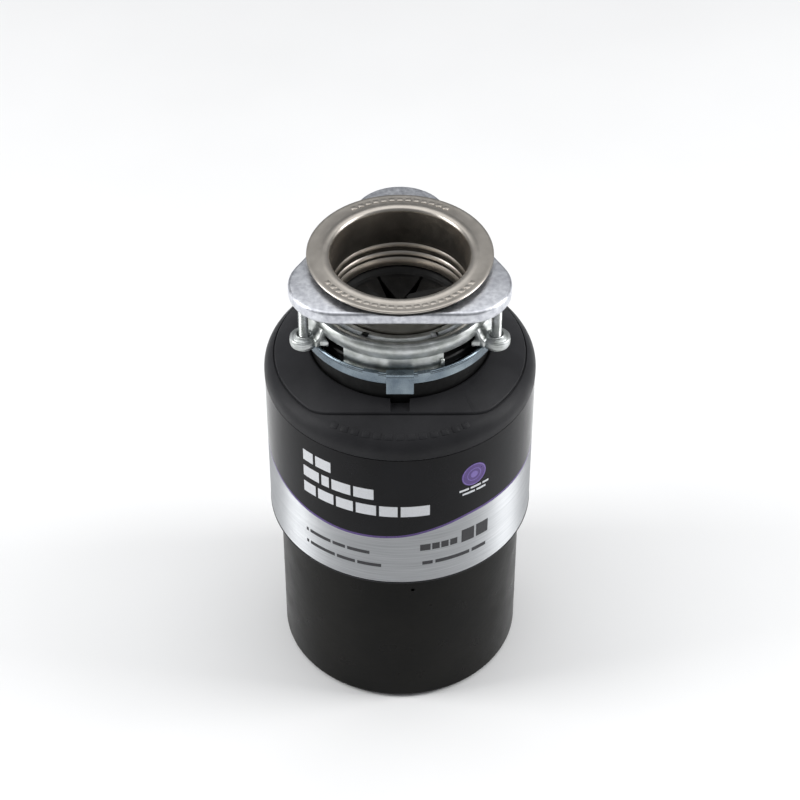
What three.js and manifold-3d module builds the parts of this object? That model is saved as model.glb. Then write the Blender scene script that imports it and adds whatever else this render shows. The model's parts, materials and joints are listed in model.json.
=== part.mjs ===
// A kitchen garbage disposal that hangs under a sink, with its sink mount fitted.
// Millimetres, +Z up. The origin is on the axis, at the bottom of the motor can. The front faces -Y.
import * as THREE from "three";
import { mergeVertices } from "three/addons/utils/BufferGeometryUtils.js";
import Module from "manifold-3d";

const wasm = await Module();
wasm.setup();

// ---- Driving dimensions ----
const GAP = 0.3; // clearance left between pieces that touch
const LARGE_FACETS = 28; // sides of a large round piece
const SMALL_FACETS = 16; // sides of a small round piece

const CAN = { radius: 79.5, wall: 1, height: 125 };
const SHELL = { bottom: 120, radius: 86.5, labelRadius: 85.6, wall: 2.5, neckRadius: 57.5, neckTop: 256 };
const LABEL = { bottom: 121.6, top: 229.5, radius: 86.3, wall: 0.4, halfAngle: 125 };
const SHAFT = { radius: 6.35, bottom: 6.5, shoulder: 178.2, top: 189, threadRadius: 5, socketFlats: 6.35 };
const STATOR = { radius: 62, bore: 33, bottom: 48, top: 92, slots: 12 };
const THROUGH_BOLT = { circle: 66.5, radius: 2.5, hole: 2.9 };
const BOLT_ANGLES = [45, 135, 225, 315]; // from the front, towards +X
const END_FRAME = { bottom: 8, top: 12, radius: 77.8, hub: 15, hubBottom: 6, hubTop: 24 };
const BEARING = { bore: SHAFT.radius + GAP, outer: 11 };
const CHAMBER = { floor: 129, radius: 72.5, outer: 76, flange: 82, split: 178 };
const CONTAINER_SCREW = { circle: 79.2, angles: [20, 110, 200, 290], radius: 1.7, head: 2.7 };
const OUTLET = { height: 153, bore: 18.5, outer: 22, face: 86.2, flangeWidth: 60, flangeHeight: 48 };
const INLET = { x: -36, height: 222, bore: 8.5, outer: 11, end: 84, pocket: 18 };
const TURNTABLE = { radius: 66, bottom: 176, top: 178.5 };
const LUG = { circle: 42, reach: 19.5, eye: 9, pin: 4, bottom: 179, top: 189.5 };
const NECK = { bore: 47, outer: 50.3, top: 274, cushion: 57 };
const LOWER_RING = { bottom: 271.5, top: 280, inner: 60.8, outer: 62.8, flange: 2 };
const TAB = { width: 17, inner: 59.2, outer: 65.8, bottom: 266, hook: 278.6, top: 281 };
const SKIRT = { inner: 56.2, outer: 58.4, lip: 60, bottom: 276.2, from: -36, to: 27 };
const SLEEVE = { inner: 43, outer: 44.2, bottom: 280.2 };
const RIM = { radius: 57.5, seat: 322.6, top: 324.5 };
const SNAP_RING = { inner: 43.6, outer: 47, bottom: 291.6, top: 293.7 };
const BACKUP = { cornerCircle: 44, cornerRadius: 30, bore: 46, bottom: 309.6, top: 318.8 };
const MOUNT_SCREW = { circle: 68, radius: 3.2, hole: 3.6, head: 4.75, bottom: 276.6, shoulder: 279.8 };
const SCREW_ANGLES = [-60, 60, 180]; // from the front, towards +X
const SWITCH = { x: -36, pivotX: -31, armTop: 32.6 };
const RESET = { x: 42, y: -18, hole: 5.2 };
const CONDUIT = { x: -52, y: 0, radius: 11 };
const TERMINAL = { x: 0, y: 46, width: 54, depth: 36 };

const COLOURS = {
  enamel: 0x232323, plastic: 0x2b2b2c, label: 0x8d8c8b, stainless: 0x8d8880, zinc: 0xc4c6cf, blueZinc: 0x8a8fa3,
  cast: 0xa9acb2, rubber: 0x161616, copper: 0xa8643a, iron: 0x6a6c70, brass: 0xa98d4a, red: 0xb52222,
};

// ---- Shaping helpers ----
const radians = (degrees) => (degrees * Math.PI) / 180;

// A point at an angle from the front (-Y) towards +X.
function around(radius, degrees) {
  return [radius * Math.sin(radians(degrees)), -radius * Math.cos(radians(degrees))];
}

// A body turned about Z from a closed profile of [radius, height] points, outer side upwards.
function turned(profile, facets = LARGE_FACETS) {
  const points = [...profile, profile[0]].map(([radius, height]) => new THREE.Vector2(radius, height));
  return new THREE.LatheGeometry(points, facets).rotateX(Math.PI / 2);
}

function tube(inner, outer, bottom, top, facets = SMALL_FACETS) {
  return turned([[inner, bottom], [outer, bottom], [outer, top], [inner, top]], facets);
}

function rod(radius, bottom, top, facets = SMALL_FACETS) {
  return new THREE.CylinderGeometry(radius, radius, top - bottom, facets)
    .rotateX(Math.PI / 2).translate(0, 0, (bottom + top) / 2);
}

function block(x, y, bottom, width, depth, height) {
  return new THREE.BoxGeometry(width, depth, height).translate(x, y, bottom + height / 2);
}

function extruded(shape, bottom, top, curveSegments = 6) {
  const options = { depth: top - bottom, bevelEnabled: false, curveSegments };
  return new THREE.ExtrudeGeometry(shape, options).translate(0, 0, bottom);
}

function circle(radius, x = 0, y = 0) {
  return new THREE.Shape().absarc(x, y, radius, 0, 2 * Math.PI, false);
}

// A ring sector between two angles from the front.
function sector(inner, outer, from, to, steps) {
  const angles = Array.from({ length: steps + 1 }, (_, i) => from + ((to - from) * i) / steps);
  const corners = [...angles.map((a) => around(outer, a)), ...angles.reverse().map((a) => around(inner, a))];
  return new THREE.Shape(corners.map(([x, y]) => new THREE.Vector2(x, y)));
}

function solid(geometry) {
  const bare = geometry.clone();
  bare.deleteAttribute("normal");
  bare.deleteAttribute("uv");
  const merged = mergeVertices(bare, 1e-4);
  const mesh = { numProp: 3, vertProperties: merged.attributes.position.array, triVerts: merged.index.array };
  return new wasm.Manifold(new wasm.Mesh(mesh));
}

function geometryOf(manifold) {
  const mesh = manifold.getMesh();
  const geometry = new THREE.BufferGeometry();
  geometry.setAttribute("position", new THREE.BufferAttribute(mesh.vertProperties, 3));
  geometry.setIndex(new THREE.BufferAttribute(mesh.triVerts, 1));
  geometry.computeVertexNormals();
  return geometry;
}

function joined(first, ...others) {
  return geometryOf(others.reduce((body, other) => body.add(solid(other)), solid(first)));
}

function cut(first, ...tools) {
  return geometryOf(tools.reduce((body, tool) => body.subtract(solid(tool)), solid(first)));
}

function common(first, second) {
  return geometryOf(solid(first).intersect(solid(second)));
}

function turnedCopies(geometry, angles) {
  return angles.map((degrees) => geometry.clone().rotateZ(radians(degrees)));
}

function moved(geometry, x, y) {
  return geometry.translate(x, y, 0);
}

const disposal = new THREE.Group();

function add(name, geometry, color, metalness, roughness) {
  const mesh = new THREE.Mesh(geometry, new THREE.MeshStandardMaterial({ color, metalness, roughness }));
  mesh.name = name;
  disposal.add(mesh);
  return mesh;
}

// ---- Motor ----
function lowerCan() {
  const { radius, wall, height } = CAN;
  const bend = 3;
  const hub = 9;
  const floor = 1.2;
  const cup = turned([
    [hub, 0], [radius - bend, 0], [radius - bend * 0.3, bend * 0.3], [radius, bend], [radius, height],
    [radius - wall, height], [radius - wall, bend + 0.4], [radius - bend, floor], [hub, floor],
  ]);
  return cut(
    cup,
    moved(rod(RESET.hole, -1, 3, 16), RESET.x, RESET.y),
    moved(rod(CONDUIT.radius, -1, 3, 24), CONDUIT.x, CONDUIT.y),
    block(TERMINAL.x, TERMINAL.y, -1, TERMINAL.width + 3, TERMINAL.depth + 3, 4),
  );
}

function lowerEndFrame() {
  const { bottom, top, radius, hub, hubBottom, hubTop } = END_FRAME;
  const bore = BEARING.outer + GAP;
  const disc = turned([
    [bore, hubBottom], [hub, hubBottom], [hub, bottom], [radius, bottom],
    [radius, top], [hub + 3, top], [hub, hubTop], [bore, hubTop],
  ]);
  const boltHole = moved(rod(THROUGH_BOLT.hole, 0, 20, 8), 0, -THROUGH_BOLT.circle);
  const coverHole = moved(rod(2.2, 0, 20, 12), TERMINAL.x, TERMINAL.y);
  return cut(disc, moved(rod(RESET.hole, 0, 20, 16), RESET.x, RESET.y), coverHole,
    ...turnedCopies(boltHole, BOLT_ANGLES));
}

function throughBolt() {
  const head = 4.3;
  const { radius } = THROUGH_BOLT;
  return turned([[0, 4], [head, 4], [head, 7.6], [radius, 7.7], [radius, 127.5], [0, 127.5]], 8);
}

function terminalCover() {
  const plate = block(TERMINAL.x, TERMINAL.y, 3, TERMINAL.width, TERMINAL.depth, 1.2);
  return cut(plate, moved(rod(2.2, 0, 20, 12), TERMINAL.x, TERMINAL.y));
}

function terminalCoverScrew() {
  return turned([[0, 1], [3.6, 1.2], [3.8, 2.6], [1.8, 2.7], [1.8, 11.5], [0, 11.5]], 12);
}

function statorCore() {
  const { radius, bore, bottom, top, slots } = STATOR;
  const outline = circle(radius);
  outline.holes.push(new THREE.Path().absarc(0, 0, bore, 0, 2 * Math.PI, true));
  const ear = moved(tube(THROUGH_BOLT.hole, 7, bottom, top, 12), 0, -THROUGH_BOLT.circle);
  const hole = moved(rod(THROUGH_BOLT.hole, bottom - 1, top + 1, 8), 0, -THROUGH_BOLT.circle);
  const slot = extruded(sector(bore - 1, bore + 14, -4, 4, 1), bottom - 1, top + 1);
  const slotAngles = Array.from({ length: slots }, (_, i) => ((i + 0.5) * 360) / slots);
  const ring = joined(extruded(outline, bottom, top, 18), ...turnedCopies(ear, BOLT_ANGLES));
  return cut(ring, ...turnedCopies(hole, BOLT_ANGLES), ...turnedCopies(slot, slotAngles));
}

function winding(bottom, top) {
  const [inner, outer, round] = [37, 57, 5];
  return turned([
    [inner + round, bottom], [outer - round, bottom], [outer, bottom + round], [outer, top - round],
    [outer - round, top], [inner + round, top], [inner, top - round], [inner, bottom + round],
  ], 20);
}

function rotorShaft() {
  const { radius, bottom, shoulder, top, threadRadius, socketFlats } = SHAFT;
  const bar = turned([
    [0, bottom], [radius, bottom], [radius, shoulder], [threadRadius, shoulder],
    [threadRadius, top], [0, top],
  ], 16);
  const hexRadius = socketFlats / 2 / Math.cos(Math.PI / 6);
  return cut(bar, rod(hexRadius, bottom - 1, bottom + 8, 6));
}

function upperEndFrame() {
  const [bottom, top, hubTop] = [119, 125, 148];
  const bore = BEARING.outer + 1 + GAP;
  const disc = turned([
    [bore, 112], [20, 112], [22, bottom], [77.9, bottom], [77.9, top], [25, top],
    [24, 131], [17.5, hubTop], [bore, hubTop],
  ]);
  const hole = moved(rod(THROUGH_BOLT.hole, 100, 130, 8), 0, -THROUGH_BOLT.circle);
  return cut(disc, ...turnedCopies(hole, BOLT_ANGLES));
}

function overloadProtector() {
  const body = block(RESET.x, RESET.y, END_FRAME.top + 0.4, 22, 18, 11);
  return cut(body, moved(rod(3.4, 10, 17, 12), RESET.x, RESET.y));
}

function resetButton() {
  const button = turned([[0, 1.2], [4, 1.2], [4.6, 1.9], [4.6, 8], [2.6, 8], [2.6, 12.6], [0, 12.6]], 12);
  return moved(button, RESET.x, RESET.y);
}

function startSwitch() {
  const post = 3;
  const base = block(SWITCH.x, 0, END_FRAME.top + 0.4, 14, 16, 10);
  const ears = [-1, 1].map((side) => block(SWITCH.pivotX, side * 6.5, 20, 5, post, 13));
  return joined(base, ...ears);
}

function startSwitchArm() {
  const tip = -12;
  const width = 9;
  const length = tip - (SWITCH.pivotX - 2);
  return block((tip + SWITCH.pivotX - 2) / 2, 0, SWITCH.armTop - 2, length, width, 2);
}

function centrifugalSleeve() {
  return turned([[SHAFT.radius + GAP, 33], [16, 33], [16, 35], [9.5, 35.4], [9.5, 40], [SHAFT.radius + GAP, 40]], 16);
}

// ---- Drain chamber, cutting parts and hopper ----
function roundedRectangle(width, height, corner) {
  const shape = new THREE.Shape();
  const [x, y] = [width / 2 - corner, height / 2 - corner];
  shape.absarc(x, y, corner, 0, Math.PI / 2, false);
  shape.absarc(-x, y, corner, Math.PI / 2, Math.PI, false);
  shape.absarc(-x, -y, corner, Math.PI, 1.5 * Math.PI, false);
  shape.absarc(x, -y, corner, 1.5 * Math.PI, 2 * Math.PI, false);
  return shape;
}

// Stands a shape drawn in X and Z upright, from one Y to another.
function standing(shape, height, from, to, curveSegments = 4) {
  const options = { depth: to - from, bevelEnabled: false, curveSegments };
  return new THREE.ExtrudeGeometry(shape, options).rotateX(Math.PI / 2).translate(0, to, height);
}

function lowerContainer() {
  const { floor, radius, outer, flange, split } = CHAMBER;
  const [base, ledge] = [CAN.height + 0.4, 166];
  const pot = turned([
    [26, base], [CAN.radius, base], [CAN.radius, floor], [outer, floor], [outer, split - 4],
    [flange, split - 3], [flange, split], [radius, split], [radius, ledge + 3.6], [69.5, ledge + 3.6],
    [69.5, ledge], [radius, ledge - 4], [radius, floor], [26, floor],
  ]);
  const inside = turned([[0, 120], [74, 120], [74, 190], [0, 190]]);
  const spout = cut(standing(circle(OUTLET.outer), OUTLET.height, 65, OUTLET.face - 1, 10), inside);
  const face = roundedRectangle(OUTLET.flangeWidth, OUTLET.flangeHeight, 8);
  const plate = standing(face, OUTLET.height, OUTLET.face - 4.5, OUTLET.face);
  const bore = standing(circle(OUTLET.bore), OUTLET.height, 50, OUTLET.face + 5, 10);
  const plateScrew = standing(circle(2.6), OUTLET.height, OUTLET.face - 10, OUTLET.face + 5, 6);
  const plateScrews = [-1, 1].map((side) => plateScrew.clone().translate(side * 24.5, 0, 0));
  const boltHole = moved(rod(THROUGH_BOLT.hole, 120, 128, 8), 0, -THROUGH_BOLT.circle);
  const screwHole = moved(rod(2.1, split - 6, split + 1, 8), 0, -CONTAINER_SCREW.circle);
  return cut(joined(pot, spout, plate), bore, ...plateScrews, ...turnedCopies(boltHole, BOLT_ANGLES),
    ...turnedCopies(screwHole, CONTAINER_SCREW.angles));
}

function containerScrew() {
  const { radius, head } = CONTAINER_SCREW;
  return turned([[0, 173], [radius, 173], [radius, 183.3], [head, 183.4], [head, 185.6], [0, 186]], 8);
}

function containerGasket() {
  return tube(CHAMBER.radius + 0.5, 75.6, CHAMBER.split + GAP, 179.7, LARGE_FACETS);
}

function grindRing() {
  const ring = tube(67.5, 71.4, 170, 206, LARGE_FACETS);
  const notch = block(0, -68, 169, 5, 5, 12);
  const angles = Array.from({ length: 18 }, (_, i) => i * 20);
  return cut(ring, ...turnedCopies(notch, angles));
}

function upperContainer() {
  const { outer, flange } = CHAMBER;
  const bottom = 180;
  const hopper = turned([
    [72, bottom], [flange, bottom], [flange, bottom + 3], [outer, bottom + 3], [outer - 1.5, bottom + 8],
    [74, 226], [70, 236], [61, 243.5], [53, 246.5], [NECK.outer, 249],
    [NECK.outer, NECK.top], [NECK.bore, NECK.top], [NECK.bore, 247], [51, 243], [59.5, 239.5],
    [67, 233], [70.5, 225], [70.5, 210], [72, 208],
  ]);
  const nipple = standing(circle(INLET.outer), INLET.height, 59, INLET.end, 8).translate(INLET.x, 0, 0);
  const bore = standing(circle(INLET.bore), INLET.height, 68, INLET.end + 5, 8).translate(INLET.x, 0, 0);
  const inside = turned([[0, 208], [70.4, 208], [70.4, 225], [66.5, 233], [0, 239]]);
  const screwHole = moved(rod(2.1, bottom - 1, bottom + 4, 8), 0, -CONTAINER_SCREW.circle);
  const stub = cut(nipple, inside);
  return cut(joined(hopper, stub), bore, ...turnedCopies(screwHole, CONTAINER_SCREW.angles));
}

function turntable() {
  const { radius, bottom, top } = TURNTABLE;
  const plate = turned([
    [SHAFT.radius + GAP, 160], [11, 160], [13, bottom - 3], [16, bottom], [radius, bottom], [radius, top],
    [SHAFT.threadRadius + GAP, top], [SHAFT.threadRadius + GAP, SHAFT.shoulder - 0.1 + GAP],
    [SHAFT.radius + GAP, SHAFT.shoulder - 0.1 + GAP],
  ]);
  const pinHole = moved(rod(LUG.pin + GAP, bottom - 5, top + 5, 10), LUG.circle, 0);
  const drain = moved(rod(2.4, bottom - 5, top + 5, 6), 56, 0);
  const drainAngles = [30, 75, 105, 150, 210, 255, 285, 330];
  return cut(plate, ...turnedCopies(pinHole, [0, 180]), ...turnedCopies(drain, drainAngles));
}

function turntableNut() {
  const hex = rod(9.5 / Math.cos(Math.PI / 6), TURNTABLE.top + GAP, 187, 6);
  return cut(hex, rod(SHAFT.threadRadius + GAP, 170, 190, 16));
}

function lugPin(side) {
  const { pin, top } = LUG;
  const profile = [
    [0, 173.4], [6, 173.4], [6, TURNTABLE.bottom - GAP], [pin, TURNTABLE.bottom - GAP],
    [pin, top + GAP], [6.2, top + GAP], [5.4, top + 2.6], [0, top + 2.8],
  ];
  return moved(turned(profile, 12), side * LUG.circle, 0);
}

// A cutting lug: a flat bar with a raised nose, free to swing right round its pin.
function swivelLug(side) {
  const { reach, eye, pin, bottom, top } = LUG;
  const outline = new THREE.Shape().absarc(0, 0, eye, radians(50), radians(310), false);
  outline.lineTo(reach - 3, -6.5);
  outline.lineTo(reach - 0.6, 0);
  outline.lineTo(reach - 3, 6.5);
  const bar = extruded(outline, bottom, bottom + 5, 6);
  const collar = rod(7, bottom + 4, top, 16);
  const nose = block(reach - 6.5, 0, bottom + 4, 6.5, 12, top - bottom - 5);
  const lug = cut(joined(bar, collar, nose), rod(pin + GAP, bottom - 2, top + 2, 16));
  return moved(lug.rotateZ(side > 0 ? radians(35) : radians(215)), side * LUG.circle, 0);
}

// ---- Covers ----
function trimShell() {
  const { bottom, radius, labelRadius, wall, neckRadius, neckTop } = SHELL;
  const [fillet, slope, shoulder] = [12, 0.5, 234];
  const lean = Math.atan(1 / slope);
  const arc = (size, steps) => Array.from({ length: steps + 1 }, (_, i) => {
    const angle = (lean * i) / steps;
    return [radius - fillet + size * Math.cos(angle), shoulder + size * Math.sin(angle)];
  });
  const shell = turned([
    [CAN.radius + 0.6, bottom], [86.1, bottom], [86.3, bottom + 1.2], [labelRadius, bottom + 1.2],
    [labelRadius, 229.8], [radius, 230.3], ...arc(fillet, 3), [neckRadius + 1, neckTop - 0.4],
    [neckRadius, neckTop - 1], [neckRadius, neckTop - 3.5], ...arc(fillet - wall, 3).reverse(),
    [labelRadius - wall, 228], [labelRadius - wall, bottom + 3], [CAN.radius + 0.6, bottom + 2.4],
  ]);
  const opening = roundedRectangle(OUTLET.flangeWidth + 4, OUTLET.flangeHeight + 4, 8);
  const pocket = standing(circle(INLET.pocket), INLET.height, 55, 100, 10).translate(INLET.x, 0, 0);
  return cut(shell, standing(opening, OUTLET.height, 60, 100), pocket);
}

function labelWrap() {
  const { bottom, top, radius, wall, halfAngle } = LABEL;
  return extruded(sector(radius - wall, radius, -halfAngle, halfAngle, 30), bottom, top);
}

// ---- Sink mount ----
function splashBaffle() {
  const disc = turned([
    [7, 272.2], [38, 275.4], [46, NECK.top + GAP], [55.5, NECK.top + GAP], [55.5, 278.8], [54.6, 279.7],
    [41, 279.7], [38, 277.8], [7, 274.4],
  ]);
  const slit = extruded(sector(5, 36, -1, 1, 1), 260, 290);
  const angles = Array.from({ length: 8 }, (_, i) => 22.5 + i * 45);
  return cut(disc, ...turnedCopies(slit, angles));
}

function lowerMountingRing() {
  const { bottom, top, inner, outer, flange } = LOWER_RING;
  const band = turned([
    [NECK.outer + 0.5, bottom], [outer - 0.5, bottom], [outer, bottom + 0.6], [outer, top - 0.6],
    [outer - 1, top], [inner, top - 0.4], [inner, bottom + flange], [NECK.outer + 0.5, bottom + flange],
  ]);
  const depth = TAB.outer - outer + 1;
  const leg = block(0, -(TAB.outer - depth / 2), TAB.bottom, TAB.width, depth, TAB.top - TAB.bottom);
  const reach = TAB.outer - TAB.inner;
  const hook = block(0, -(TAB.outer - reach / 2), TAB.hook, TAB.width, reach, TAB.top - TAB.hook);
  const tab = joined(leg, hook);
  return joined(band, ...turnedCopies(tab, [0, 120, 240]));
}

function mountingRing() {
  const crown = turned([
    [44.9, 294], [50.5, 294], [55.5, 296.2], [57.2, 295], [SKIRT.inner, 288], [SKIRT.outer, 288],
    [60.4, 294.5], [59.6, 298.2], [57, 299.2], [51.5, 296.6], [44.9, 296.2],
  ]);
  const wall = turned([
    [SKIRT.inner, SKIRT.bottom], [SKIRT.lip, SKIRT.bottom], [SKIRT.lip, SKIRT.bottom + 1.8],
    [SKIRT.outer, SKIRT.bottom + 2], [SKIRT.outer, 289], [SKIRT.inner, 289],
  ]);
  const thirds = [0, 120, 240];
  const window = extruded(sector(50, 70, SKIRT.from, SKIRT.to, 8), 270, 292);
  const skirt = common(wall, window);
  const stop = extruded(sector(SKIRT.outer - 1, SKIRT.lip, SKIRT.to - 2.5, SKIRT.to, 1), SKIRT.bottom, 284);
  const part = joined(crown, ...turnedCopies(skirt, thirds), ...turnedCopies(stop, thirds));
  return cut(joined(part, ...turnedCopies(mountingArm(), SCREW_ANGLES)), ...screwHoles());
}

// One arm: an eye for the screw, and a web that rises to the crown.
function mountingArm() {
  const { circle: reach } = MOUNT_SCREW;
  const eye = moved(turned([[0, 280.2], [8.1, 280.2], [8.8, 281], [8.8, 284], [6, 287], [0, 287]], 20), 0, -reach);
  const web = block(0, -62.5, 281.4, 15, 9, 5);
  const rise = block(0, -59.4, 281.4, 17, 3.2, 11);
  return joined(eye, web, rise);
}

function screwHoles() {
  return turnedCopies(moved(rod(MOUNT_SCREW.hole, 275, 292, 16), 0, -MOUNT_SCREW.circle), SCREW_ANGLES);
}

function mountingScrew(degrees) {
  const { radius, head, bottom, shoulder, circle: reach } = MOUNT_SCREW;
  const profile = [
    [0, bottom], [head - 0.5, bottom], [head, bottom + 0.6], [head, shoulder], [radius, shoulder],
    [radius, BACKUP.bottom - GAP], [0, BACKUP.bottom - GAP],
  ];
  const slot = block(0, 0, bottom - 1, 12, 1.2, 3);
  return moved(cut(turned(profile, 16), slot), ...around(reach, degrees));
}

function snapRing() {
  const { inner, outer, bottom, top } = SNAP_RING;
  const gap = 12;
  return extruded(sector(inner, outer, gap, 360 - gap, 30), bottom, top);
}

// A round-cornered triangle with a round bore, its corners over the three screws.
function backupRing() {
  const { cornerCircle, cornerRadius, bore, bottom, top } = BACKUP;
  const bevel = 1.6;
  const outline = new THREE.Shape();
  for (const degrees of [90, 210, 330]) {
    const [x, y] = [cornerCircle * Math.cos(radians(degrees)), cornerCircle * Math.sin(radians(degrees))];
    outline.absarc(x, y, cornerRadius - bevel, radians(degrees - 60), radians(degrees + 60), false);
  }
  const options = { depth: top - bottom - 2 * bevel, bevelThickness: bevel, bevelSize: bevel, bevelSegments: 1,
    curveSegments: 6 };
  const plate = new THREE.ExtrudeGeometry(outline, options).translate(0, 0, bottom + bevel);
  return cut(plate, rod(bore, bottom - 5, top + 5, LARGE_FACETS));
}

function sinkFlange() {
  const { inner, outer, bottom } = SLEEVE;
  const { radius, seat, top } = RIM;
  return turned([
    [inner - 1.6, bottom], [inner + 0.6, bottom], [outer, bottom + 3], [outer, SNAP_RING.bottom - GAP],
    [SNAP_RING.inner - GAP, SNAP_RING.bottom - GAP], [SNAP_RING.inner - GAP, SNAP_RING.top + GAP],
    [outer, SNAP_RING.top + GAP], [outer, seat - 2], [outer + 1.2, seat],
    [radius, seat], [radius, top - 0.4], [radius - 1, top], [47, top],
    [45.2, top - 0.7], [inner + 0.6, top - 2.4], [inner, top - 5],
    [inner, SNAP_RING.top + 1.5], [inner - 1, SNAP_RING.top + 0.4], [inner - 1, SNAP_RING.bottom - 0.4],
    [inner, SNAP_RING.bottom - 1.5], [inner, bottom + 3],
  ]);
}

// ---- The assembly ----
const { enamel, plastic, label, stainless, zinc, blueZinc, cast, rubber, copper, iron, brass, red } = COLOURS;

add("lower_can", lowerCan(), enamel, 0.1, 0.3);
add("terminal_cover", terminalCover(), zinc, 0.9, 0.4);
add("terminal_cover_screw", moved(terminalCoverScrew(), TERMINAL.x, TERMINAL.y), zinc, 0.9, 0.4);
add("lower_end_frame", lowerEndFrame(), cast, 0.8, 0.6);
add("lower_bearing", tube(BEARING.bore, BEARING.outer, 8, 23.6), brass, 0.8, 0.5);
add("overload_protector", overloadProtector(), rubber, 0, 0.6);
add("reset_button", resetButton(), red, 0, 0.4);
add("start_switch", startSwitch(), rubber, 0, 0.6);
add("start_switch_arm", startSwitchArm(), brass, 0.8, 0.5);
add("stator_core", statorCore(), iron, 0.8, 0.6);
add("winding_lower", winding(28, STATOR.bottom - GAP), copper, 0.6, 0.5);
add("winding_upper", winding(STATOR.top + GAP, 112), copper, 0.6, 0.5);
add("rotor_shaft", rotorShaft(), iron, 0.9, 0.3);
add("rotor_core", tube(SHAFT.radius + GAP, 32.3, STATOR.bottom, STATOR.top, 24), iron, 0.8, 0.6);
add("rotor_end_ring_lower", tube(20, 31.5, 43, STATOR.bottom - GAP, 20), cast, 0.8, 0.5);
add("rotor_end_ring_upper", tube(20, 31.5, STATOR.top + GAP, 97, 20), cast, 0.8, 0.5);
add("centrifugal_sleeve", centrifugalSleeve(), plastic, 0, 0.6);
add("upper_end_frame", upperEndFrame(), cast, 0.8, 0.6);
add("upper_bearing", tube(BEARING.bore, BEARING.outer + 1, 113, 144, 16), brass, 0.8, 0.5);
add("shaft_seal", tube(BEARING.bore + 0.2, 16, 148 + GAP, 152, 16), rubber, 0, 0.7);
add("slinger", tube(BEARING.bore, 17.5, 154, 157, 16), rubber, 0, 0.7);
BOLT_ANGLES.forEach((degrees, i) => {
  const bolt = moved(throughBolt(), ...around(THROUGH_BOLT.circle, degrees));
  add(`through_bolt_${i + 1}`, bolt, iron, 0.9, 0.4);
});

add("lower_container", lowerContainer(), plastic, 0, 0.6);
add("container_gasket", containerGasket(), rubber, 0, 0.8);
add("grind_ring", grindRing(), stainless, 1, 0.3);
add("upper_container", upperContainer(), plastic, 0, 0.6);
CONTAINER_SCREW.angles.forEach((degrees, i) => {
  const screw = moved(containerScrew(), ...around(CONTAINER_SCREW.circle, degrees));
  add(`container_screw_${i + 1}`, screw, iron, 0.9, 0.4);
});
add("turntable", turntable(), stainless, 1, 0.3);
add("turntable_nut", turntableNut(), stainless, 1, 0.3);
for (const side of [1, -1]) {
  const number = side > 0 ? 1 : 2;
  add(`lug_pin_${number}`, lugPin(side), stainless, 1, 0.3);
  add(`swivel_lug_${number}`, swivelLug(side), stainless, 1, 0.3);
}

add("trim_shell", trimShell(), plastic, 0, 0.45);
add("label_wrap", labelWrap(), label, 0.6, 0.35);
add("neck_cushion", tube(NECK.outer + GAP, NECK.cushion, 250, 271, LARGE_FACETS), rubber, 0, 0.7);
add("splash_baffle", splashBaffle(), rubber, 0, 0.6);

add("lower_mounting_ring", lowerMountingRing(), blueZinc, 0.9, 0.35);
add("mounting_ring", mountingRing(), zinc, 0.9, 0.35);
add("snap_ring", snapRing(), iron, 0.9, 0.4);
add("backup_ring", backupRing(), zinc, 0.9, 0.45);
add("flange_gasket", tube(BACKUP.bore, 55, BACKUP.top + GAP, RIM.seat - GAP, LARGE_FACETS), rubber, 0, 0.9);
SCREW_ANGLES.forEach((degrees, i) => add(`mounting_screw_${i + 1}`, mountingScrew(degrees), zinc, 0.9, 0.35));
add("sink_flange", sinkFlange(), stainless, 1, 0.3);

export default disposal;
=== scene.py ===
# The looks of a kitchen garbage disposal with its sink mount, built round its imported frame.
# Lengths are in millimetres until at() turns them to metres. The front faces -Y.
import json
import math

import bpy
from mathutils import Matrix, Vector


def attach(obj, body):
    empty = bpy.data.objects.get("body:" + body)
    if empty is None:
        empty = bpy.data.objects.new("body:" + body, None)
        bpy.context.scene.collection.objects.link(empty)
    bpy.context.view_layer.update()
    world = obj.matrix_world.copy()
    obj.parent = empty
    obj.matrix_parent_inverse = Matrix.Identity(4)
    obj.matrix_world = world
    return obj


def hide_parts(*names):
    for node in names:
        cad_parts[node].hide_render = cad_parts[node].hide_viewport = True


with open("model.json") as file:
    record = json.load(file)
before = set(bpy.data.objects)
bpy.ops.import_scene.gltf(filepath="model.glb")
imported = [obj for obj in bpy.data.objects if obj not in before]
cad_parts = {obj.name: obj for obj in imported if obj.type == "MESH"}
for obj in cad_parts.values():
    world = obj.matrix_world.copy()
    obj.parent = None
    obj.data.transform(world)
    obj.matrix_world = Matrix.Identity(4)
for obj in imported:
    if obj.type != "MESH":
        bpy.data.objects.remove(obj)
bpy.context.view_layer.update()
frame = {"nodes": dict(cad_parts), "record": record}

MM = 0.001
ROUND = 144  # sides of a large turned piece
SMALL_ROUND = 32  # sides of a small turned piece


def at(x, y, z):
    return Vector((x * MM, y * MM, z * MM))


def around(radius, degrees):
    """A place on a circle, at an angle from the front towards +X."""
    return radius * math.sin(math.radians(degrees)), -radius * math.cos(math.radians(degrees))


def arc(centre_x, centre_y, radius, start, end, steps):
    """Points along an arc, its angles in degrees from the first axis towards the second."""
    angles = [math.radians(start + (end - start) * i / steps) for i in range(steps + 1)]
    return [(centre_x + radius * math.cos(a), centre_y + radius * math.sin(a)) for a in angles]


# ---- Making and shaping ----
def only(piece):
    """Leaves one object selected and active, in object mode."""
    if bpy.context.mode != "OBJECT":
        bpy.ops.object.mode_set(mode="OBJECT")
    bpy.ops.object.select_all(action="DESELECT")
    if piece:
        piece.select_set(True)
        bpy.context.view_layer.objects.active = piece
    return piece


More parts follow.
